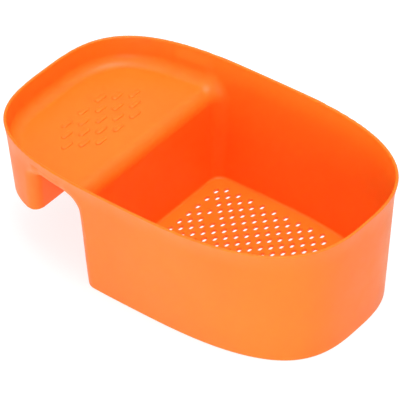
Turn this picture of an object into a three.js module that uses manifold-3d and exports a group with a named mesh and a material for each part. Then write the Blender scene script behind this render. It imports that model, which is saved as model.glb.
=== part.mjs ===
// Saddle-type sink strainer basket with a sponge tray: one thin orange moulding, laid out region by region.
// Millimetres, +Z up. The origin is on the base plane, under the centre of the oval rim.
// +X points to the rounded end of the deep tub, -X to the tray end with the saddle leg.
import * as THREE from 'three';
import { mergeVertices } from 'three/addons/utils/BufferGeometryUtils.js';
import Module from 'manifold-3d';

// Rim outline, a superellipse
const HALF_LENGTH = 142.1;
const HALF_WIDTH = 86.2;
const HEIGHT = 100;
const TUB_END_POWER = 2.81; // exponent of the rounder, tub end
const TRAY_END_POWER = 3.19; // and of the squarer, tray end
const OUTLINE_STEPS = 88; // points round the whole outline
const TRACE_STEPS = 3000; // finer steps along which its length is measured
const HALVINGS = 50; // of the angle range in which a corner's end is searched

// Walls
const WALL = 2.2;
const DRAFT = 0.083; // how far the wall leans in per millimetre of depth
const FLARE = 3; // how far the rim curls out past the straight wall
const TUB_END_EASE = { flare: 0.45, draft: 0 }; // share of the flare, and the draft, lost at the tub's end
const TRAY_END_EASE = { flare: 0.78, draft: 0.032 }; // and at the tray's end, whose wall is nearly upright
const EASE_TURN = 0.75; // how far the outline has to turn towards an end for that to apply in full
const FLARE_START = 82; // height at which the curl begins
const FLARE_LEVELS = [82, 86, 89, 92, 95, 97.5]; // heights of the wall's facets through the curl
const RIM_BOTTOM = 92; // underside of the rim strip that runs all the way round
const LIP_ROUND = 0.6; // softening of the rim's top edges
const SEAM = 0.3; // gap between neighbouring regions
const CORNER = 10; // outer radius of the upright corners either side of the saddle slot
const CORNER_STEPS = 6;

// Deep tub
const FLOOR = 2.4;
const FLOOR_EDGE = 0.7; // chamfer under the floor's outer edge
const DIVIDER_X = -47.5; // tub face of the divider
const SLOT_TUB_X = DIVIDER_X - WALL; // its slot face
const BEND = 11; // radius of the bend from the divider into the tray
const BEND_STEPS = 7;
const END_WALL_X = 60; // where the tub's side walls meet its end wall

// Drain holes
const HOLE_LENGTH = 5; // along Y
const HOLE_WIDTH = 3;
const HOLE_ROW_PITCH = 5.37; // between rows, along X
const HOLE_PITCH = 10.42; // within a row, along Y; every other row is staggered by half
const FIRST_HOLE_X = -36.6;
const HOLE_MARGIN = 7.5; // from a hole's centre to the tub's inner wall
const BLANK_SPOTS = [[1, 4], [3, 3]]; // [row, steps from the middle] of the two spots left unpierced

// Tray
const TRAY_TOP = 78.8;
const TRAY_UNDERSIDE = TRAY_TOP - WALL;
const TRAY_FILLET = 8.6; // from the tray floor up into its wall
const TRAY_FILLET_STEPS = 5;
const TRAY_RECESS = 0.8; // how far the tray's side stands in behind the rim's lower edge

// Sponge nubs
const NUB_ROWS = [3, 4, 5, 4, 3];
const NUB_ROW_PITCH = 7.95;
const NUB_PITCH = 18.17;
const FIRST_NUB_X = -106.2;
const NUB_LENGTH = 10.6;
const NUB_WIDTH = 4.3;
const NUB_HEIGHT = 1;
const NUB_SIDES = 12;
const NUB_PROFILE = [[0, 0], [1, 0], [0.88, 0.7], [0.5, 0.97], [0, 1]]; // shares of half width and height

// Saddle leg
const LEG_BOTTOM = 40;
const SLOT_LEG_X = -92; // slot face of the leg at its foot
const LEG_TOP_X = -87.8; // and where it meets the tray
const LEG_SHELL_X = SLOT_LEG_X - CORNER; // where the leg's outer shell gives way to its corners

const BEND_X = DIVIDER_X - BEND; // where the tray floor starts to bend down
const BEND_Z = TRAY_TOP - BEND; // and where the bend becomes the upright divider
const TUB_CORNER_X = SLOT_TUB_X + CORNER;
const FAR = 200; // beyond every face, for cutting boxes
const PAST = 1; // how far a cutter stands out past what it cuts

const wasm = await Module();
wasm.setup();

// ---------- Shape helpers ----------

function toSolid(geometry) {
  const bare = geometry.clone();
  bare.deleteAttribute('normal');
  bare.deleteAttribute('uv');
  const merged = mergeVertices(bare, 1e-4);
  return new wasm.Manifold(new wasm.Mesh({
    numProp: 3,
    vertProperties: new Float32Array(merged.attributes.position.array),
    triVerts: new Uint32Array(merged.index.array),
  }));
}

function toGeometry(solid) {
  const mesh = solid.getMesh();
  const geometry = new THREE.BufferGeometry();
  geometry.setAttribute('position', new THREE.BufferAttribute(new Float32Array(mesh.vertProperties), 3));
  geometry.setIndex(new THREE.BufferAttribute(new Uint32Array(mesh.triVerts), 1));
  geometry.computeVertexNormals();
  return geometry;
}

function box(x0, x1, y0, y1, z0, z1) {
  const geometry = new THREE.BoxGeometry(x1 - x0, y1 - y0, z1 - z0);
  geometry.translate((x0 + x1) / 2, (y0 + y1) / 2, (z0 + z1) / 2);
  return toSolid(geometry);
}

const between = (x0, x1) => box(x0, x1, -FAR, FAR, -FAR, FAR);

// The point a distance inside the rim outline, where the outline's outward normal has the given angle.
// The outline is the superellipse |x/a|^n + |y/b|^n = 1, written by its normal's angle.
// The distance is given as a function of the normal's x, because the ends lean less than the sides.
function outlinePoint(angle, depthAt) {
  const nx = Math.cos(angle);
  const ny = Math.sin(angle);
  const power = nx > 0 ? TUB_END_POWER : TRAY_END_POWER;
  const dual = power / (power - 1);
  const reachX = HALF_LENGTH * Math.abs(nx);
  const reachY = HALF_WIDTH * Math.abs(ny);
  const support = (reachX ** dual + reachY ** dual) ** (1 / dual);
  const x = Math.sign(nx) * HALF_LENGTH * (reachX / support) ** (dual - 1);
  const y = Math.sign(ny) * HALF_WIDTH * (reachY / support) ** (dual - 1);
  const depth = depthAt(nx);
  return [x - depth * nx, y - depth * ny];
}

// Points of the offset outline from one normal angle to another, at equal steps of length.
function outlineRun(from, to, depthAt, steps) {
  const angles = Array.from({ length: TRACE_STEPS + 1 }, (_, i) => from + ((to - from) * i) / TRACE_STEPS);
  const dense = angles.map((angle) => outlinePoint(angle, depthAt));
  const run = [0];
  for (let i = 1; i <= TRACE_STEPS; i += 1) {
    const [p, q] = [dense[i - 1], dense[i]];
    run.push(run[i - 1] + Math.hypot(q[0] - p[0], q[1] - p[1]));
  }
  const points = [];
  let i = 0;
  for (let k = 0; k <= steps; k += 1) {
    const target = (run[TRACE_STEPS] * k) / steps;
    while (i < TRACE_STEPS - 1 && run[i + 1] < target) i += 1;
    const f = (target - run[i]) / (run[i + 1] - run[i]);
    points.push(dense[i].map((value, axis) => value + (dense[i + 1][axis] - value) * f));
  }
  return points;
}

const fullOutline = (depthAt) => outlineRun(0, 2 * Math.PI, depthAt, OUTLINE_STEPS).slice(0, -1);

// The part of the offset outline beyond an upright face at faceX, with both upright corners rounded.
// side is +1 for the part towards +X and -1 for the part towards -X.
function cellOutline(side, faceX, depthAt, corner, steps) {
  const centreX = faceX + side * corner;
  const centreDepth = (nx) => depthAt(nx) + corner;
  let low = 0;
  let high = Math.PI;
  for (let i = 0; i < HALVINGS; i += 1) {
    const middle = (low + high) / 2;
    if (outlinePoint(middle, centreDepth)[0] > centreX) low = middle;
    else high = middle;
  }
  const centreY = outlinePoint(low, centreDepth)[1];
  const faceAngle = side > 0 ? Math.PI : 0;
  const arc = (from, to, y) => Array.from({ length: CORNER_STEPS }, (_, i) => {
    const angle = from + ((to - from) * (i + (side > 0 ? 1 : 0))) / CORNER_STEPS;
    return [centreX + corner * Math.cos(angle), y + corner * Math.sin(angle)];
  });
  if (side > 0) {
    const run = outlineRun(-low, low, depthAt, steps);
    const corners = arc(low, faceAngle, centreY);
    const mirrored = corners.map(([x, y]) => [x, -y]).reverse();
    return [...run, ...corners, ...mirrored];
  }
  const run = outlineRun(low, 2 * Math.PI - low, depthAt, steps);
  const corners = arc(faceAngle, low, centreY);
  const mirrored = corners.map(([x, y]) => [x, -y]).reverse();
  return [...run, ...mirrored, ...corners];
}

// Faces between rings of points, each ring one closed loop [x, y] at its own height.
// A closed loft joins the last ring back to the first; an open one is capped at both ends.
function loft(rings, closed) {
  const count = rings[0].points.length;
  const positions = rings.flatMap(({ points, z }) => points.flatMap(([x, y]) => [x, y, z]));
  const index = [];
  const bands = closed ? rings.length : rings.length - 1;
  for (let k = 0; k < bands; k += 1) {
    const low = k * count;
    const high = ((k + 1) % rings.length) * count;
    for (let i = 0; i < count; i += 1) {
      const j = (i + 1) % count;
      index.push(low + i, low + j, high + j, low + i, high + j, high + i);
    }
  }
  if (!closed) {
    const flat = rings[0].points.map(([x, y]) => new THREE.Vector2(x, y));
    const top = (rings.length - 1) * count;
    THREE.ShapeUtils.triangulateShape(flat, []).forEach(([a, b, c]) => {
      index.push(a, c, b, top + a, top + b, top + c);
    });
  }
  const geometry = new THREE.BufferGeometry();
  geometry.setAttribute('position', new THREE.Float32BufferAttribute(positions, 3));
  geometry.setIndex(index);
  return toSolid(geometry);
}

// A section, a list of [inset, height] pairs, swept round the whole outline. Each inset is a function of the
// outline normal's x.
function sweepRing(section) {
  return loft(section.map(([depthAt, z]) => ({ points: fullOutline(depthAt), z })), true);
}

// How far a face stands inside the rim outline at a height: the outer wall's own inset plus a set distance.
function wallAt(z, extra) {
  const curl = Math.max(0, (z - FLARE_START) / (HEIGHT - FLARE_START));
  return (nx) => {
    const turn = Math.min(1, Math.abs(nx) / EASE_TURN);
    const share = turn * turn * (3 - 2 * turn);
    const ease = nx > 0 ? TUB_END_EASE : TRAY_END_EASE;
    const flare = FLARE * (1 - share * ease.flare) * (1 - curl * curl);
    return flare + (HEIGHT - z) * (DRAFT - share * ease.draft) + extra;
  };
}

// The heights at which a wall between two heights is facetted.
const levels = (low, high) => [low, ...FLARE_LEVELS.filter((z) => z > low && z < high), high];

// The filled body inside the wall, its side standing a set distance in from the outer face.
function fill(low, high, extra) {
  return loft(levels(low, high).map((z) => ({ points: fullOutline(wallAt(z, extra)), z })), false);
}

// The wall of the basket between two heights.
function wallRing(low, high) {
  const outer = levels(low, high).map((z) => [wallAt(z, 0), z]);
  const inner = levels(low, high).map((z) => [wallAt(z, WALL), z]).reverse();
  return sweepRing([...outer, ...inner]);
}

// ---------- Rim ----------

function makeRim() {
  const run = levels(RIM_BOTTOM, HEIGHT - LIP_ROUND);
  const outer = run.map((z) => [wallAt(z, 0), z]);
  const inner = run.map((z) => [wallAt(z, WALL), z]).reverse();
  const lip = [[wallAt(HEIGHT, LIP_ROUND), HEIGHT], [wallAt(HEIGHT, WALL - LIP_ROUND), HEIGHT]];
  return sweepRing([...outer, ...lip, ...inner]);
}

// ---------- Tub ----------

// The tub as a filled body below the bend, its side standing a set distance in from the outer face.
function tubFill(low, high, extra) {
  const rings = [low, high].map((z) => ({
    points: cellOutline(1, SLOT_TUB_X + extra, wallAt(z, extra), CORNER - extra, OUTLINE_STEPS / 2),
    z,
  }));
  return loft(rings, false);
}

function makeTubFloor() {
  const plate = tubFill(FLOOR_EDGE, FLOOR, 0);
  const edge = [0, FLOOR_EDGE].map((z) => {
    const extra = FLOOR_EDGE - z;
    const side = wallAt(FLOOR_EDGE, extra);
    return { points: cellOutline(1, SLOT_TUB_X + extra, side, CORNER - extra, OUTLINE_STEPS / 2), z };
  });
  return plate.add(loft(edge, false)).subtract(wasm.Manifold.union(drainHoles()));
}

// True where a hole's centre is far enough inside the tub's inner wall.
function insideTub(x, y, wall) {
  return wall.every((p, i) => {
    const q = wall[(i + 1) % wall.length];
    const [dx, dy] = [q[0] - p[0], q[1] - p[1]];
    return (dx * (y - p[1]) - dy * (x - p[0])) / Math.hypot(dx, dy) >= HOLE_MARGIN;
  });
}

function drainHoles() {
  const [half, end] = [HOLE_WIDTH / 2, HOLE_LENGTH / 2];
  const slot = new THREE.Shape([
    new THREE.Vector2(half, -end / 2),
    new THREE.Vector2(half, end / 2),
    new THREE.Vector2(0, end),
    new THREE.Vector2(-half, end / 2),
    new THREE.Vector2(-half, -end / 2),
    new THREE.Vector2(0, -end),
  ]);
  const cutter = toSolid(new THREE.ExtrudeGeometry(slot, { depth: FLOOR + 2 * PAST, bevelEnabled: false }));
  const wall = fullOutline(wallAt(FLOOR, WALL));
  const rows = Math.ceil((HALF_LENGTH - FIRST_HOLE_X) / HOLE_ROW_PITCH);
  const reach = Math.ceil(HALF_WIDTH / HOLE_PITCH);
  const holes = [];
  for (let row = 0; row < rows; row += 1) {
    const x = FIRST_HOLE_X + row * HOLE_ROW_PITCH;
    const stagger = row % 2 === 0 ? 0.5 : 0;
    for (let step = -reach; step <= reach; step += 1) {
      const y = (step + stagger) * HOLE_PITCH;
      const blank = BLANK_SPOTS.some(([r, s]) => r === row && s === step);
      if (!blank && insideTub(x, y, wall)) holes.push(cutter.translate([x, y, -PAST]));
    }
  }
  return holes;
}

// The tub's side walls start at the rounded corners; above the bend they run on to meet the tray.
function makeTubWalls() {
  const underBend = box(-FAR, TUB_CORNER_X, -FAR, FAR, -FAR, BEND_Z);
  const ring = wallRing(FLOOR + SEAM, RIM_BOTTOM - SEAM).intersect(between(BEND_X, FAR)).subtract(underBend);
  const sides = ring.intersect(between(-FAR, END_WALL_X - SEAM));
  return {
    front: sides.intersect(box(-FAR, FAR, -FAR, 0, -FAR, FAR)),
    back: sides.intersect(box(-FAR, FAR, 0, FAR, -FAR, FAR)),
    end: ring.intersect(between(END_WALL_X, FAR)),
  };
}

// The upright divider with the tub's two rounded corners.
function makeDivider() {
  const [low, high] = [FLOOR + SEAM, BEND_Z - SEAM];
  const ring = tubFill(low, high, 0).subtract(tubFill(low - PAST, high + PAST, WALL));
  return ring.intersect(between(-FAR, TUB_CORNER_X - SEAM));
}

// The bend that carries the divider over into the tray, with two corner webs that close it to the side walls.
function makeDividerBend() {
  const shape = new THREE.Shape();
  shape.moveTo(SLOT_TUB_X, BEND_Z);
  shape.lineTo(DIVIDER_X, BEND_Z);
  shape.absarc(BEND_X, BEND_Z, BEND, 0, Math.PI / 2, false);
  shape.lineTo(BEND_X, TRAY_UNDERSIDE);
  shape.absarc(BEND_X, BEND_Z, BEND - WALL, Math.PI / 2, 0, true);
  const options = { depth: 2 * HALF_WIDTH, bevelEnabled: false, curveSegments: BEND_STEPS };
  const bend = new THREE.ExtrudeGeometry(shape, options);
  bend.rotateX(Math.PI / 2);
  bend.translate(0, HALF_WIDTH, 0);
  const slab = box(SLOT_TUB_X, TUB_CORNER_X - SEAM, -FAR, FAR, BEND_Z, BEND_Z + WALL);
  const webs = slab.subtract(tubFill(BEND_Z - PAST, BEND_Z + WALL + PAST, WALL));
  return toSolid(bend).add(webs).intersect(fill(0, HEIGHT, WALL + SEAM));
}

// ---------- Tray ----------

// Where the tray's fillet runs out into its floor, plus a set distance.
const filletFoot = (extra) => wallAt(TRAY_TOP + TRAY_FILLET, WALL + TRAY_FILLET + extra);

// The tray floor in two parts: the outer one over the leg's hollow and the inner one, which bridges the slot.
function makeTrayFloors() {
  const points = fullOutline(filletFoot(SEAM));
  const plate = loft([{ points, z: TRAY_UNDERSIDE }, { points, z: TRAY_TOP }], false);
  return {
    outer: plate.intersect(between(-FAR, LEG_TOP_X)),
    bridge: plate.intersect(between(LEG_TOP_X + SEAM, BEND_X - SEAM)),
  };
}

// The tray's side: an upright strip that curves in to meet the tray floor.
function makeTraySide() {
  const arc = (radius) => Array.from({ length: TRAY_FILLET_STEPS + 1 }, (_, k) => {
    const angle = ((Math.PI / 2) * k) / TRAY_FILLET_STEPS;
    return [filletFoot(-radius * Math.cos(angle)), TRAY_TOP + TRAY_FILLET - radius * Math.sin(angle)];
  });
  const top = RIM_BOTTOM - SEAM;
  const under = arc(TRAY_FILLET + WALL - TRAY_RECESS).reverse().slice(1);
  const outer = [[filletFoot(0), TRAY_UNDERSIDE], ...under, [wallAt(top, TRAY_RECESS), top]];
  const inner = [[wallAt(top, WALL), top], ...arc(TRAY_FILLET)];
  const side = sweepRing([...outer, ...inner]).intersect(between(-FAR, BEND_X - SEAM));
  const overLeg = side.intersect(between(-FAR, LEG_TOP_X + SEAM)).intersect(fill(0, HEIGHT, WALL + SEAM));
  return side.intersect(between(LEG_TOP_X + SEAM, FAR)).add(overLeg);
}

// A low bump with round ends, straight between them.
function makeNub() {
  const profile = NUB_PROFILE.map(([across, up]) => new THREE.Vector2(across, up));
  const geometry = new THREE.LatheGeometry(profile, NUB_SIDES, Math.PI / NUB_SIDES);
  const place = geometry.attributes.position;
  const stretch = (NUB_LENGTH - NUB_WIDTH) / NUB_WIDTH;
  for (let i = 0; i < place.count; i += 1) {
    const along = place.getZ(i);
    place.setZ(i, along + Math.sign(along) * stretch);
  }
  geometry.rotateX(Math.PI / 2);
  geometry.scale(NUB_WIDTH / 2, NUB_WIDTH / 2, NUB_HEIGHT);
  return toGeometry(toSolid(geometry));
}

// ---------- Saddle leg ----------

// The leg as a filled body under the tray, its side standing a set distance in from the outer face.
// Its slot face leans towards the tub as it rises.
function legFill(low, high, extra) {
  const lean = (LEG_TOP_X - SLOT_LEG_X) / (TRAY_UNDERSIDE - LEG_BOTTOM);
  const rings = [low, high].map((z) => {
    const faceX = SLOT_LEG_X + (z - LEG_BOTTOM) * lean - extra;
    return { points: cellOutline(-1, faceX, wallAt(z, extra), CORNER - extra, OUTLINE_STEPS / 4), z };
  });
  return loft(rings, false);
}

function makeLegShell() {
  const underTray = box(LEG_SHELL_X, FAR, -FAR, FAR, -FAR, TRAY_UNDERSIDE);
  return wallRing(LEG_BOTTOM, RIM_BOTTOM - SEAM).intersect(between(-FAR, LEG_TOP_X)).subtract(underTray);
}

function makeLegFace() {
  const top = TRAY_UNDERSIDE - SEAM;
  const ring = legFill(LEG_BOTTOM, top, 0).subtract(legFill(LEG_BOTTOM - PAST, top + PAST, WALL));
  return ring.intersect(between(LEG_SHELL_X + SEAM, FAR));
}

// ---------- Assembly ----------

const ORANGE = 0xf5702d;
const LIGHT_ORANGE = 0xff8446;
const group = new THREE.Group();

function add(name, geometry, color) {
  const material = new THREE.MeshStandardMaterial({ color, roughness: 0.42, metalness: 0 });
  const mesh = new THREE.Mesh(geometry, material);
  mesh.name = name;
  group.add(mesh);
  return mesh;
}

const tubWalls = makeTubWalls();
const trayFloors = makeTrayFloors();
add('rim', toGeometry(makeRim()), LIGHT_ORANGE);
add('strainer_floor', toGeometry(makeTubFloor()), ORANGE);
add('tub_front_wall', toGeometry(tubWalls.front), ORANGE);
add('tub_back_wall', toGeometry(tubWalls.back), ORANGE);
add('tub_end_wall', toGeometry(tubWalls.end), ORANGE);
add('divider_wall', toGeometry(makeDivider()), ORANGE);
add('divider_bend', toGeometry(makeDividerBend()), ORANGE);
add('tray_floor', toGeometry(trayFloors.outer), LIGHT_ORANGE);
add('saddle_bridge', toGeometry(trayFloors.bridge), LIGHT_ORANGE);
add('tray_side', toGeometry(makeTraySide()), LIGHT_ORANGE);
add('saddle_leg_shell', toGeometry(makeLegShell()), ORANGE);
add('saddle_leg_face', toGeometry(makeLegFace()), ORANGE);

const nub = makeNub();
let number = 1;
NUB_ROWS.forEach((count, row) => {
  for (let k = 0; k < count; k += 1) {
    const mesh = add(`sponge_nub_${String(number).padStart(2, '0')}`, nub, LIGHT_ORANGE);
    mesh.position.set(FIRST_NUB_X + row * NUB_ROW_PITCH, (k - (count - 1) / 2) * NUB_PITCH, TRAY_TOP);
    number += 1;
  }
});

export default group;
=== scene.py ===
"""Orange saddle-type sink strainer basket: one thin moulded shell, and the nubs on its sponge tray.

The shell is described as a distance field, meshed on a grid, thinned out and pierced with the drain holes.
"""
import math

import bmesh
import bpy
import numpy as np
from mathutils import Matrix, Vector


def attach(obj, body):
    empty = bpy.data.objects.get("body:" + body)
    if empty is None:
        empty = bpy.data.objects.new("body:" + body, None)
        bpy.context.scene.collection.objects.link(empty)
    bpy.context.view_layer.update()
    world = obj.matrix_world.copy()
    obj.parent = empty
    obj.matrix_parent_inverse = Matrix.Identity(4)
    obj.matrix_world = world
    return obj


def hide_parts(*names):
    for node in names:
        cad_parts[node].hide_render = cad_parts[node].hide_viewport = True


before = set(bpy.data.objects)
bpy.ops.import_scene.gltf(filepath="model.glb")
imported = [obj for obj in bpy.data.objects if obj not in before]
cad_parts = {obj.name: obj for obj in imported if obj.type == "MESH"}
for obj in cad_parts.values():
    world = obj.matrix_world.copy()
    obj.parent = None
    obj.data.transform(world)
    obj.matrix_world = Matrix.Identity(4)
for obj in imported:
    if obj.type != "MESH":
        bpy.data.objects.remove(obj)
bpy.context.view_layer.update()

MM = 0.001

# ---------------------------------------------------------------- dimensions, in millimetres
# Rim outline, a superellipse, and the wall below it
HALF_LENGTH = 142.1
HALF_WIDTH = 86.2
HEIGHT = 100.0
TUB_END_POWER = 2.81
TRAY_END_POWER = 3.19
WALL = 2.2
DRAFT = 0.083                    # how far the wall leans in per millimetre of depth
FLARE = 3.0                      # how far the rim curls out past the straight wall
FLARE_START = 82.0
TUB_END_EASE = (0.45, 0.0)       # share of the flare, and the draft, lost at the tub's end
TRAY_END_EASE = (0.78, 0.032)    # and at the tray's end, whose wall is nearly upright
EASE_TURN = 0.75                 # how far the outline turns towards an end before that applies in full
RIM_ROUND = 0.95

# Tub and divider
FLOOR_TOP = 2.4
FLOOR_EDGE = 1.3          # rounding under the tub's outer edge
FLOOR_FILLET = 1.8        # inside, where the wall meets the floor
DIVIDER_X = -47.5
SLOT_TUB_X = DIVIDER_X - WALL
BEND = 11.0               # convex bend from the divider into the tray
CORNER = 10.0             # upright corners either side of the slot, at the foot of the tub
CORNER_GROWTH = 3.6       # how much wider the tub's corners are at the top of the divider, outside
INNER_GROWTH = 3.0        # and inside
GROWTH_HEIGHT = 72.0      # height by which they have widened
GROWTH_X = -60.0          # the widening fades in from here towards the tub
GROWTH_RUN = 10.0         # over this distance
INNER_CORNER = 8.6        # tray fillet, and the tub's inner upright corners

# Tray, and the rim's skirt over the saddle slot
TRAY_TOP = 78.8
TRAY_UNDERSIDE = TRAY_TOP - WALL
TRAY_BELLY = 11.0         # rounding of the tray's underside into its side
LIP_BOTTOM = 91.5         # lower edge of the skirt
LIP_EDGE = 0.4            # and its rounding
LIP_TUB_FILLET = 13.0     # from that edge down into the tub's corner
LIP_LEG_FILLET = 4.0      # and down into the leg's
LIP_RECESS = 1.3          # how far the tray's side stands in behind the skirt
RECESS_LEG_X = -88.0      # that recess fades in from here
RECESS_TUB_X = -52.0      # and out by here
RECESS_Z = 68.0
RECESS_FADE = 8.0
SLOT_THICKEN = 1.0        # how much the wall's inner face gives way for the recess
THICKEN_TOP = 98.0        # height above which it does not

# Saddle leg
LEG_BOTTOM = 40.0
SLOT_LEG_X = -92.0        # slot face of the leg at its foot
LEG_LEAN = 4.2 / (TRAY_UNDERSIDE - LEG_BOTTOM)
LEG_TOP_FILLET = 2.5
LEG_ROOF_FILLET = 2.0     # inside the leg's hollow, under the tray
LEG_EDGE = 0.55
SLOT_MIDDLE_X = -70.0     # the leg's foot is cut level on the far side of this
WELL_INSIDE = -10.0       # a depth inside the plastic that leaves the other fields as they are

# Drain holes
HOLE_LENGTH = 5.0
HOLE_WIDTH = 3.0
HOLE_ROW_PITCH = 5.37
HOLE_PITCH = 10.42
FIRST_HOLE_X = -36.6
HOLE_MARGIN = 7.5         # from a hole's centre to the tub's inner wall
HOLE_CHAMFER = 0.35
HOLE_SIDES = 20
CUTTER_REACH = 1.0        # how far a cutter stands out past the floor
BLANK_SPOTS = ((1, 4), (3, 3))    # (row, step) of the two spots left unpierced

# Sponge nubs
NUB_ROWS = (3, 4, 5, 4, 3)
NUB_ROW_PITCH = 7.95
NUB_PITCH = 18.17
FIRST_NUB_X = -106.2
NUB_LENGTH = 10.6
NUB_WIDTH = 4.3
NUB_HEIGHT = 0.95
NUB_SHOULDER = 5.0        # how square the nub's shoulder is
NUB_RINGS = 12
NUB_SIDES = 32
NUB_RING_CROWDING = 0.6   # below 1, the rings stand closer together towards the foot
NUB_LIFT = 0.01           # of its lowest ring over the tray floor
NUB_ROOT = 0.3            # how deep it is set into that floor

# Meshing
GRID = 1.2                # spacing of the shell's sampling grid in plan
GRID_MARGIN = 1.8         # and how far the grid reaches past the rim
HEIGHT_SPANS = (          # lowest height, highest height and spacing of the grid's levels
    (-1.0, 6.0, 0.7), (6.0, 36.0, 2.5), (36.0, 42.0, 0.75), (42.0, 64.0, 2.2),
    (64.0, 90.0, 1.0), (90.0, 93.0, 0.5), (93.0, 97.5, 0.9), (97.5, 101.0, 0.5))
PROBE = 0.04              # distance from a point to the samples that give the field's slope there
FLATTEST = 0.2            # least squared slope that a step towards the surface is divided by
LONGEST_MOVE = 0.6        # of a point in one step
RIM_ZONE = 97.5           # height above which the mesh stays as fine as it was made
RIM_WEIGHT = 100          # how strongly
SHORTEST_EDGE = 0.005     # shorter edges, left where the holes are cut, are collapsed
MESH_SHARE = 0.36         # share of the shell's triangles that are kept, most of them where it curves
SMOOTH_LIMIT = 0.8        # least cosine between a facet and the true surface for smooth shading

# ---------------------------------------------------------------- camera
CAMERA_TARGET = (-1.483, -1.593, 50.0)
CAMERA_DISTANCE = 2099.16
AZIMUTH, ELEVATION, ROLL = 40.75, 39.319, -2.923    # degrees
SENSOR = 36
LENS = 274.0581


# ---------------------------------------------------------------- the shell as a distance field
def outline_points(count):
    """Points of the rim outline at equal steps of its normal's angle."""
    angle = (np.arange(count) + 0.5) * (2 * math.pi / count)
    nx, ny = np.cos(angle), np.sin(angle)
    power = np.where(nx > 0, TUB_END_POWER, TRAY_END_POWER)
    dual = power / (power - 1)
    reach_x, reach_y = HALF_LENGTH * np.abs(nx), HALF_WIDTH * np.abs(ny)
    support = (reach_x ** dual + reach_y ** dual) ** (1 / dual)
    x = np.sign(nx) * HALF_LENGTH * (reach_x / support) ** (dual - 1)
    y = np.sign(ny) * HALF_WIDTH * (reach_y / support) ** (dual - 1)
    return x, y


class Plan:
    """Depth inside the rim outline over the plan, with the flare and draft of the nearest stretch of wall."""

    STEP = 0.75
    MARGIN = 4
    TRACE_POINTS = 24000    # along the outline, unevenly spaced
    EVEN_POINTS = 3200      # and evenly

    def __init__(self):
        x, y = outline_points(self.TRACE_POINTS)
        run = np.concatenate([[0], np.cumsum(np.hypot(np.diff(x), np.diff(y)))])
        even = np.linspace(0, run[-1], self.EVEN_POINTS)
        px, py = np.interp(even, run, x), np.interp(even, run, y)
        self.x0, self.y0 = -HALF_LENGTH - self.MARGIN, -HALF_WIDTH - self.MARGIN
        nx = int(-2 * self.x0 / self.STEP) + 2
        ny = int(-2 * self.y0 / self.STEP) + 2
        gx = self.x0 + self.STEP * np.arange(nx)
        gy = self.y0 + self.STEP * np.arange(ny)
        tangent_x, tangent_y = np.gradient(px), np.gradient(py)
        length = np.hypot(tangent_x, tangent_y)
        normal_x, normal_y = tangent_y / length, -tangent_x / length
        turn = smoothstep(np.abs(normal_x) / EASE_TURN)
        ease = np.where(normal_x[:, None] > 0, TUB_END_EASE, TRAY_END_EASE)
        flare = FLARE * (1 - turn * ease[:, 0])
        draft = DRAFT - turn * ease[:, 1]
        self.table = np.empty((nx, ny, 3))
        for i, column_x in enumerate(gx):
            dx = (column_x - px)[None, :]
            dy = gy[:, None] - py[None, :]
            nearest = np.argmin(dx * dx + dy * dy, axis=1)
            self.table[i, :, 0] = -((column_x - px[nearest]) * normal_x[nearest]
                                    + (gy - py[nearest]) * normal_y[nearest])
            self.table[i, :, 1] = flare[nearest]
            self.table[i, :, 2] = draft[nearest]

    def __call__(self, x, y):
        """Depth, flare and draft at plan points, interpolated between the samples."""
        fx = np.clip((x - self.x0) / self.STEP, 0, self.table.shape[0] - 1.001)
        fy = np.clip((y - self.y0) / self.STEP, 0, self.table.shape[1] - 1.001)
        i, j = fx.astype(int), fy.astype(int)
        fx, fy = (fx - i)[..., None], (fy - j)[..., None]
        t = self.table
        mixed = ((t[i, j] * (1 - fx) + t[i + 1, j] * fx) * (1 - fy)
                 + (t[i, j + 1] * (1 - fx) + t[i + 1, j + 1] * fx) * fy)
        return mixed[..., 0], mixed[..., 1], mixed[..., 2]


def meet(a, b, radius):
    """Intersection of two fields with a rounded edge."""
    outside = np.hypot(np.maximum(a + radius, 0), np.maximum(b + radius, 0))
    return np.minimum(np.maximum(a, b), -radius) + outside


def join(a, b, radius):
    """Union of two fields with a fillet."""
    return -meet(-a, -b, radius)


def smoothstep(t):
    """Rise from 0 to 1 without a kink at either end."""
    t = np.clip(t, 0, 1)
    return t * t * (3 - 2 * t)


def inset(z, flare, draft):
    """How far the outer wall stands inside the rim outline at a height."""
    curl = np.maximum(0, (z - FLARE_START) / (HEIGHT - FLARE_START))
    return flare * (1 - curl * curl) + (HEIGHT - z) * draft


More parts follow.
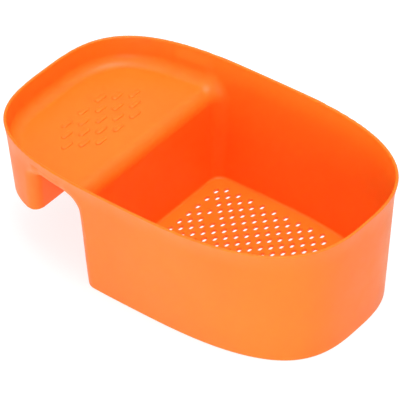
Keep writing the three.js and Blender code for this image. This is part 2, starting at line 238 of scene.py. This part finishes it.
def shell_field(wall_here, x, z):
    """Signed distance to the moulding: negative inside the plastic."""
    depth, flare, draft = wall_here
    u = depth - inset(z, flare, draft)
    leg_x = SLOT_LEG_X + (z - LEG_BOTTOM) * LEG_LEAN
    over_slot = (smoothstep((x - RECESS_LEG_X) / RECESS_FADE) * smoothstep((RECESS_TUB_X - x) / RECESS_FADE)
                 * smoothstep((z - RECESS_Z) / RECESS_FADE))
    growth = smoothstep(z / GROWTH_HEIGHT) * smoothstep((x - GROWTH_X) / GROWTH_RUN)

    # The outside: the body with the saddle slot cut from under it, and the rim's skirt
    block = join(SLOT_TUB_X - x, TRAY_UNDERSIDE - z, BEND - WALL)
    block = join(block, x - leg_x, LEG_TOP_FILLET)
    near_tub = join(LIP_BOTTOM - z, SLOT_TUB_X + CORNER - x, LIP_TUB_FILLET)
    near_leg = join(LIP_BOTTOM - z, x - (leg_x - CORNER), LIP_LEG_FILLET)
    skirt = np.minimum(near_tub, near_leg)
    belly = CORNER + (TRAY_BELLY - CORNER) * over_slot + CORNER_GROWTH * growth
    body = meet(LIP_RECESS * over_slot - u, block, belly)
    lip = meet(np.maximum(-u, u - WALL), skirt, LIP_EDGE)
    outer = meet(np.minimum(body, lip), -z, FLOOR_EDGE)

    # The room inside the tub and over the tray, and the hollow in the leg
    wall = WALL + SLOT_THICKEN * over_slot * smoothstep((THICKEN_TOP - z) / RECESS_FADE)
    room = -meet(x - DIVIDER_X, z - TRAY_TOP, BEND)
    cavity = meet(wall - u, room, INNER_CORNER + INNER_GROWTH * growth)
    cavity = meet(cavity, FLOOR_TOP - z, FLOOR_FILLET)
    leg_room = meet(WALL - u, x - (leg_x - WALL), CORNER - WALL)
    leg_room = meet(leg_room, z - TRAY_UNDERSIDE, LEG_ROOF_FILLET)

    shell = np.maximum(np.maximum(outer, -cavity), -leg_room)
    under_leg = np.where(x < SLOT_MIDDLE_X, LEG_BOTTOM - z, WELL_INSIDE)
    shell = meet(shell, under_leg, LEG_EDGE)
    return meet(shell, z - HEIGHT, RIM_ROUND)


def height_levels():
    """Grid heights: close together where the shell is rounded, wider up its straight walls."""
    levels = []
    for low, high, step in HEIGHT_SPANS:
        count = round((high - low) / step)
        levels.extend(low + (high - low) * np.arange(count) / count)
    return np.array(levels + [HEIGHT_SPANS[-1][1]])


def surface_net(values, axes):
    """Quads through the cells where the sampled field changes sign."""
    inside = values < 0
    shape = np.array(values.shape) - 1
    total = np.zeros((int(np.prod(shape)), 3))
    hits = np.zeros(int(np.prod(shape)))
    quads = []
    strides = np.array([shape[1] * shape[2], shape[2], 1])
    for axis in range(3):
        low = [slice(None)] * 3
        high = [slice(None)] * 3
        low[axis], high[axis] = slice(None, -1), slice(1, None)
        crossing = inside[tuple(low)] != inside[tuple(high)]
        index = np.argwhere(crossing)
        other = [a for a in range(3) if a != axis]
        keep = np.ones(len(index), bool)
        for a in other:
            keep &= (index[:, a] > 0) & (index[:, a] < shape[a])
        index = index[keep]
        after = index.copy()
        after[:, axis] += 1
        v0, v1 = values[tuple(index.T)], values[tuple(after.T)]
        t = v0 / (v0 - v1)
        point = np.stack([axes[a][index[:, a]] for a in range(3)], axis=1)
        span = axes[axis][after[:, axis]] - axes[axis][index[:, axis]]
        point[:, axis] += t * span
        b, c = (axis + 1) % 3, (axis + 2) % 3
        cells = []
        for db, dc in ((-1, -1), (0, -1), (0, 0), (-1, 0)):
            cell = index.copy()
            cell[:, b] += db
            cell[:, c] += dc
            flat = cell @ strides
            cells.append(flat)
            for k in range(3):
                total[:, k] += np.bincount(flat, point[:, k], len(total))
            hits += np.bincount(flat, minlength=len(hits))
        quad = np.stack(cells, axis=1)
        outward = inside[tuple(index.T)]
        quad[~outward] = quad[~outward][:, ::-1]
        quads.append(quad)
    quads = np.concatenate(quads)
    used = np.flatnonzero(hits)
    renumber = np.full(len(hits), -1)
    renumber[used] = np.arange(len(used))
    return total[used] / hits[used][:, None], renumber[quads]


def project(points, plan, rounds):
    """Move points onto the zero surface and return them with their outward normals."""
    def field(p):
        return shell_field(plan(p[:, 0], p[:, 1]), p[:, 0], p[:, 2])

    for turn in range(rounds + 1):
        gradient = np.empty_like(points)
        for axis in range(3):
            shift = np.zeros(3)
            shift[axis] = PROBE
            gradient[:, axis] = (field(points + shift) - field(points - shift)) / (2 * PROBE)
        size = np.maximum((gradient ** 2).sum(axis=1), FLATTEST)
        if turn == rounds:
            break
        move = -(field(points) / size)[:, None] * gradient
        length = np.linalg.norm(move, axis=1)
        move *= (np.minimum(length, LONGEST_MOVE) / np.maximum(length, 1e-9))[:, None]
        points = points + move
    return points, gradient / np.sqrt(size)[:, None]


def relax(points, quads, plan, rounds):
    """Even out the mesh: each point moves towards its neighbours' mean, then back onto the surface."""
    start = quads.ravel()
    end = np.roll(quads, -1, axis=1).ravel()
    count = np.bincount(start, minlength=len(points)) + np.bincount(end, minlength=len(points))
    for _ in range(rounds):
        mean = np.empty_like(points)
        for axis in range(3):
            mean[:, axis] = (np.bincount(start, points[end, axis], len(points))
                             + np.bincount(end, points[start, axis], len(points))) / count
        points, _ = project(points + 0.5 * (mean - points), plan, 2)
    return points


# ---------------------------------------------------------------- mesh helpers
def new_object(name, points, faces):
    """A mesh object in the scene, its points given in metres."""
    mesh = bpy.data.meshes.new(name)
    mesh.from_pydata([tuple(p) for p in points], [], [tuple(f) for f in faces])
    mesh.update()
    obj = bpy.data.objects.new(name, mesh)
    bpy.context.scene.collection.objects.link(obj)
    return obj


def apply_modifiers(obj):
    """Replace the object's mesh by what its modifiers make of it."""
    graph = bpy.context.evaluated_depsgraph_get()
    mesh = bpy.data.meshes.new_from_object(obj.evaluated_get(graph), depsgraph=graph)
    old = obj.data
    obj.modifiers.clear()
    obj.data = mesh
    bpy.data.meshes.remove(old)


def hole_centres(plan):
    """The staggered lattice of drain holes, kept clear of the tub's inner wall."""
    rows = math.ceil((HALF_LENGTH - FIRST_HOLE_X) / HOLE_ROW_PITCH)
    reach = math.ceil(HALF_WIDTH / HOLE_PITCH)
    centres = []
    for row in range(rows):
        x = FIRST_HOLE_X + row * HOLE_ROW_PITCH
        stagger = 0.5 if row % 2 == 0 else 0.0
        for step in range(-reach, reach + 1):
            y = (step + stagger) * HOLE_PITCH
            if abs(y) > HALF_WIDTH or (row, step) in BLANK_SPOTS:
                continue
            depth, flare, draft = plan(np.array(x), np.array(y))
            if depth >= inset(FLOOR_TOP, flare, draft) + WALL + HOLE_MARGIN:
                centres.append((x, y))
    return centres


def hole_cutters(centres):
    """One mesh of all the cutters: oval prisms that widen at both faces of the floor to chamfer the edges."""
    sides = HOLE_SIDES
    wide = HOLE_CHAMFER + CUTTER_REACH
    levels = ((-CUTTER_REACH, wide), (HOLE_CHAMFER, 0.0), (FLOOR_TOP - HOLE_CHAMFER, 0.0),
              (FLOOR_TOP + CUTTER_REACH, wide))
    angle = 2 * math.pi * (np.arange(sides) + 0.5) / sides
    straight = (HOLE_LENGTH - HOLE_WIDTH) / 2
    points, faces = [], []
    for cx, cy in centres:
        base = len(points)
        for z, grow in levels:
            radius = HOLE_WIDTH / 2 + grow
            for a in angle:
                y = radius * math.sin(a) + math.copysign(straight, math.sin(a))
                points.append((cx + radius * math.cos(a), cy + y, z))
        for level in range(len(levels) - 1):
            low, high = base + level * sides, base + (level + 1) * sides
            for k in range(sides):
                n = (k + 1) % sides
                faces.append((low + k, low + n, high + n, high + k))
        faces.append(tuple(base + k for k in reversed(range(sides))))
        top = base + (len(levels) - 1) * sides
        faces.append(tuple(top + k for k in range(sides)))
    return points, faces


def thin_out(shell, points, plan):
    """Merge most of the mesh's flat stretches, but not its rim, and set the points kept on the surface."""
    below_rim = shell.vertex_groups.new(name="below_rim")
    below_rim.add(np.flatnonzero(points[:, 2] < RIM_ZONE).tolist(), 1.0, "REPLACE")
    modifier = shell.modifiers.new("thin", "DECIMATE")
    modifier.ratio = MESH_SHARE
    modifier.vertex_group = below_rim.name
    modifier.vertex_group_factor = RIM_WEIGHT
    apply_modifiers(shell)
    kept = np.empty(len(shell.data.vertices) * 3)
    shell.data.vertices.foreach_get("co", kept)
    kept, _ = project(kept.reshape(-1, 3) / MM, plan, 3)
    shell.data.vertices.foreach_set("co", (kept * MM).ravel())
    shell.data.update()


def build_shell(plan):
    """The whole moulding as one closed mesh, before its holes are cut."""
    reach_x, reach_y = HALF_LENGTH + GRID_MARGIN, HALF_WIDTH + GRID_MARGIN
    xs = np.arange(-reach_x, reach_x + GRID, GRID)
    ys = np.arange(-reach_y, reach_y + GRID, GRID)
    zs = height_levels()
    walls = plan(xs[:, None] + 0 * ys[None, :], ys[None, :] + 0 * xs[:, None])
    values = shell_field([w[:, :, None] for w in walls], xs[:, None, None], zs[None, None, :])
    points, quads = surface_net(values, (xs, ys, zs))
    points, _ = project(points, plan, 4)
    points = relax(points, quads, plan, 4)
    points, _ = project(points, plan, 3)
    shell = new_object("strainer_basket_shell", points * MM, quads)
    thin_out(shell, points, plan)
    return shell


def cut_holes(shell, plan):
    """Pierce the tub's floor and collapse the slivers that the cut leaves."""
    points, faces = hole_cutters(hole_centres(plan))
    cutter = new_object("hole_cutter", np.array(points) * MM, faces)
    modifier = shell.modifiers.new("holes", "BOOLEAN")
    modifier.operation = "DIFFERENCE"
    modifier.solver = "MANIFOLD"
    modifier.object = cutter
    apply_modifiers(shell)
    mesh = cutter.data
    bpy.data.objects.remove(cutter)
    bpy.data.meshes.remove(mesh)
    work = bmesh.new()
    work.from_mesh(shell.data)
    bmesh.ops.dissolve_degenerate(work, dist=SHORTEST_EDGE * MM, edges=work.edges)
    work.to_mesh(shell.data)
    work.free()


def smooth_normals(obj, plan):
    """Shade by the shell's true normal, and by the facet's own normal inside the drain holes."""
    mesh = obj.data
    mesh.polygons.foreach_set("use_smooth", np.ones(len(mesh.polygons), bool))
    count = len(mesh.vertices)
    points = np.empty(count * 3)
    mesh.vertices.foreach_get("co", points)
    points = points.reshape(-1, 3) / MM
    _, normals = project(points, plan, 0)
    faces = np.empty(len(mesh.polygons) * 3)
    mesh.polygons.foreach_get("normal", faces)
    faces = faces.reshape(-1, 3)
    sizes = np.empty(len(mesh.polygons), int)
    mesh.polygons.foreach_get("loop_total", sizes)
    corner_face = np.repeat(np.arange(len(sizes)), sizes)
    corner_vertex = np.empty(len(mesh.loops), int)
    mesh.loops.foreach_get("vertex_index", corner_vertex)
    wanted = normals[corner_vertex]
    flat = faces[corner_face]
    agree = (wanted * flat).sum(axis=1) > SMOOTH_LIMIT
    wanted[~agree] = flat[~agree]
    mesh.normals_split_custom_set([tuple(n) for n in wanted])


def build_nub(name, x, y):
    """A low bump with round ends, straight between them, and a rounded shoulder."""
    rings, sides = NUB_RINGS, NUB_SIDES
    straight = (NUB_LENGTH - NUB_WIDTH) / 2
    foot_z = TRAY_TOP + NUB_LIFT
    points = []
    for ring in range(rings):
        t = math.cos(math.pi / 2 * ring / rings) ** NUB_RING_CROWDING
        height = NUB_HEIGHT * math.sqrt(max(0.0, 1 - t ** NUB_SHOULDER))
        for k in range(sides):
            a = 2 * math.pi * (k + 0.5) / sides
            along = t * (NUB_WIDTH / 2 * math.sin(a) + math.copysign(straight, math.sin(a)))
            points.append((x + t * NUB_WIDTH / 2 * math.cos(a), y + along, foot_z + height))
    points.append((x, y, foot_z + NUB_HEIGHT))
    points.extend([(px, py, TRAY_TOP - NUB_ROOT) for px, py, _ in points[:sides]])
    top = rings * sides
    base = top + 1
    faces = []
    for ring in range(rings - 1):
        low, high = ring * sides, (ring + 1) * sides
        faces.extend((low + k, low + (k + 1) % sides, high + (k + 1) % sides, high + k) for k in range(sides))
    last = (rings - 1) * sides
    faces.extend((last + k, last + (k + 1) % sides, top) for k in range(sides))
    faces.extend((base + k, base + (k + 1) % sides, (k + 1) % sides, k) for k in range(sides))
    faces.append(tuple(base + k for k in reversed(range(sides))))
    obj = new_object(name, np.array(points) * MM, faces)
    for polygon in obj.data.polygons:
        polygon.use_smooth = len(polygon.vertices) < sides
    return obj


# ---------------------------------------------------------------- materials
class Nodes:
    """A new material's node tree, with short calls for the nodes that its parts share."""

    def __init__(self, name):
        self.material = bpy.data.materials.new(name)
        self.material.use_nodes = True
        self.nodes = self.material.node_tree.nodes
        self.links = self.material.node_tree.links
        self.shader = self.nodes["Principled BSDF"]
        self.place = self.nodes.new("ShaderNodeTexCoord").outputs["Object"]

    def noise(self, scale, detail=2):
        """Noise over the object, as a value of about 0.3 to 0.7."""
        node = self.nodes.new("ShaderNodeTexNoise")
        node.inputs["Scale"].default_value = scale
        node.inputs["Detail"].default_value = detail
        self.links.new(self.place, node.inputs["Vector"])
        return node.outputs["Fac"]

    def tint(self, value, low, high):
        """Base colour that turns from one colour to another; each is (position, (r, g, b))."""
        node = self.nodes.new("ShaderNodeValToRGB")
        for element, (position, colour) in zip(node.color_ramp.elements, (low, high)):
            element.position = position
            element.color = (*colour, 1)
        self.links.new(value, node.inputs["Fac"])
        self.links.new(node.outputs["Color"], self.shader.inputs["Base Color"])

    def bump(self, value, distance, under=None):
        """A gentle relief of the given height in metres, laid over another one."""
        node = self.nodes.new("ShaderNodeBump")
        node.inputs["Strength"].default_value = 0.12
        node.inputs["Distance"].default_value = distance
        self.links.new(value, node.inputs["Height"])
        if under:
            self.links.new(under, node.inputs["Normal"])
        return node.outputs["Normal"]


def plastic(name):
    """Satin injection-moulded polypropylene, faintly translucent."""
    tree = Nodes(name)
    shader = tree.shader
    tree.tint(tree.noise(14, 3), (0.3, (0.93, 0.168, 0.010)), (0.7, (0.96, 0.184, 0.012)))

    gloss = tree.nodes.new("ShaderNodeMapRange")
    gloss.inputs["From Min"].default_value = 0.3
    gloss.inputs["From Max"].default_value = 0.7
    gloss.inputs["To Min"].default_value = 0.36
    gloss.inputs["To Max"].default_value = 0.46
    tree.links.new(tree.noise(60, 4), gloss.inputs["Value"])
    tree.links.new(gloss.outputs["Result"], shader.inputs["Roughness"])

    swell = tree.bump(tree.noise(30), 0.001)
    grain = tree.bump(tree.noise(900), 0.0001, under=swell)
    tree.links.new(grain, shader.inputs["Normal"])

    shader.inputs["Subsurface Weight"].default_value = 0.5
    shader.inputs["Subsurface Radius"].default_value = (1.0, 0.4, 0.15)
    shader.inputs["Subsurface Scale"].default_value = 0.004
    shader.inputs["IOR"].default_value = 1.49
    shader.inputs["Specular IOR Level"].default_value = 0.24
    return tree.material


def floor_material():
    """Pale matt studio floor, lit evenly from within so that shadows on it stay faint."""
    tree = Nodes("studio_floor")
    tree.tint(tree.noise(3), (0.0, (0.31, 0.31, 0.31)), (1.0, (0.33, 0.33, 0.33)))
    tree.shader.inputs["Roughness"].default_value = 0.9
    tree.shader.inputs["Emission Color"].default_value = (1, 1, 1, 1)
    tree.shader.inputs["Emission Strength"].default_value = 0.76
    return tree.material


# ---------------------------------------------------------------- camera, light and floor
def make_camera():
    """The scene's camera, turned about the object's middle and rolled slightly."""
    azimuth, elevation, roll = (math.radians(a) for a in (AZIMUTH, ELEVATION, ROLL))
    back = Vector((math.sin(azimuth) * math.cos(elevation), -math.cos(azimuth) * math.cos(elevation),
                   math.sin(elevation)))
    right = Vector((math.cos(azimuth), math.sin(azimuth), 0))
    up = back.cross(right)
    turned_right = math.cos(roll) * right + math.sin(roll) * up
    turned_up = -math.sin(roll) * right + math.cos(roll) * up
    place = (Vector(CAMERA_TARGET) + back * CAMERA_DISTANCE) * MM
    data = bpy.data.cameras.new("camera")
    data.sensor_width = SENSOR
    data.lens = LENS
    data.clip_start = 0.05
    data.clip_end = 50
    camera = bpy.data.objects.new("camera", data)
    basis = Matrix((turned_right, turned_up, back)).transposed().to_4x4()
    camera.matrix_world = Matrix.Translation(place) @ basis
    bpy.context.scene.collection.objects.link(camera)
    bpy.context.scene.camera = camera


def area_light(name, place, target, size, power):
    """A round soft light; its places and size are in metres and its power in watts."""
    data = bpy.data.lights.new(name, "AREA")
    data.shape = "DISK"
    data.size = size
    data.energy = power
    light = bpy.data.objects.new(name, data)
    place, target = Vector(place), Vector(target)
    turn = (target - place).to_track_quat("-Z", "Y").to_matrix().to_4x4()
    light.matrix_world = Matrix.Translation(place) @ turn
    bpy.context.scene.collection.objects.link(light)


def make_world():
    """A white sky, dim at the horizon and bright overhead."""
    world = bpy.data.worlds.new("studio")
    world.use_nodes = True
    nodes, links = world.node_tree.nodes, world.node_tree.links
    nodes["Background"].inputs["Color"].default_value = (1, 1, 1, 1)
    direction = nodes.new("ShaderNodeTexCoord")
    parts = nodes.new("ShaderNodeSeparateXYZ")
    rise = nodes.new("ShaderNodeMapRange")
    rise.inputs["From Min"].default_value = 0.0
    rise.inputs["From Max"].default_value = 1.0
    rise.inputs["To Min"].default_value = 0.05
    rise.inputs["To Max"].default_value = 1.0
    links.new(direction.outputs["Generated"], parts.inputs["Vector"])
    links.new(parts.outputs["Z"], rise.inputs["Value"])
    links.new(rise.outputs["Result"], nodes["Background"].inputs["Strength"])
    bpy.context.scene.world = world


def make_studio():
    """Sky, an overhead key light, a front light and the floor, which lies just under the basket."""
    make_world()
    bpy.context.scene.view_settings.view_transform = "Standard"
    area_light("key", (0.22, -0.05, 1.42), (0, 0, 0.06), 0.8, 16)
    area_light("front", (0.42, -0.85, 0.18), (0.05, 0, 0.07), 0.45, 5)
    far, level = 4, -0.0002
    corners = [(-far, -far, level), (far, -far, level), (far, far, level), (-far, far, level)]
    floor = new_object("floor", corners, [(0, 1, 2, 3)])
    floor.data.materials.append(floor_material())


# ---------------------------------------------------------------- build
make_camera()
make_studio()

orange = plastic("orange_plastic")
plan = Plan()
shell = build_shell(plan)
cut_holes(shell, plan)
smooth_normals(shell, plan)
shell.data.materials.clear()
shell.data.materials.append(orange)
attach(shell, "root")
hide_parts("rim", "strainer_floor", "tub_front_wall", "tub_back_wall", "tub_end_wall", "divider_wall",
            "divider_bend", "tray_floor", "saddle_bridge", "tray_side", "saddle_leg_shell", "saddle_leg_face")

number = 1
for row, count in enumerate(NUB_ROWS):
    for k in range(count):
        x = FIRST_NUB_X + row * NUB_ROW_PITCH
        y = (k - (count - 1) / 2) * NUB_PITCH
        nub = build_nub(f"nub_{number:02d}", x, y)
        nub.data.materials.append(orange)
        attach(nub, "root")
        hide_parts(f"sponge_nub_{number:02d}")
        number += 1
